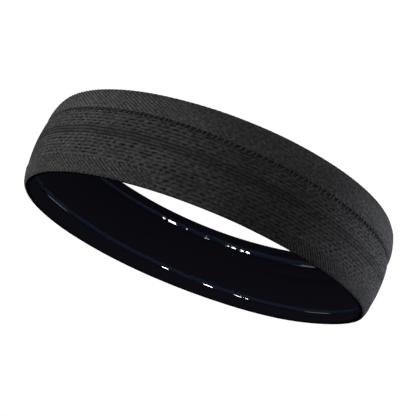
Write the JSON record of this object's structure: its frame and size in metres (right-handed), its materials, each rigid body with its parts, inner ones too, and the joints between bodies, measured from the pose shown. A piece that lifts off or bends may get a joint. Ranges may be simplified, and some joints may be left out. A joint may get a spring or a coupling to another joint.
{
  "type": "sports headband",
  "caption": "Endless oval knitted sweat band with twill hems, a mesh middle with a dark rib stripe, a smooth black lining and raised silicone grip beads inside.",
  "frame": {"origin": "the centre of the oval, on the surface that the band's lower edge rests on", "axes": "+Z is the band's own axis and points up from the edge with the stitched groove, +Y runs along the oval's long axis, and -Y is the side that faces the viewer"},
  "size_m": [0.155, 0.174, 0.035],
  "materials": {
    "hem_knit": "matt twill-faced knit",
    "mesh_knit": "matt staggered mesh knit",
    "rib_yarn": "matt covered elastic yarn",
    "seam_thread": "matt spun polyester thread",
    "hem_elastic": "matt braided elastic",
    "lining_knit": "smooth fine knit, slight satin",
    "silicone": "glossy cured silicone"
  },
  "bodies": {
    "root": {"lower_hem": "hem_knit", "upper_hem": "hem_knit", "lower_hem_elastic": "hem_elastic", "upper_hem_elastic": "hem_elastic", "mesh_panel": "mesh_knit", "rib_yarns": "rib_yarn", "link_stitch_thread": "seam_thread", "inner_lining": "lining_knit", "lower_grip_bead": "silicone", "upper_grip_bead": "silicone"}
  },
  "joints": []
}
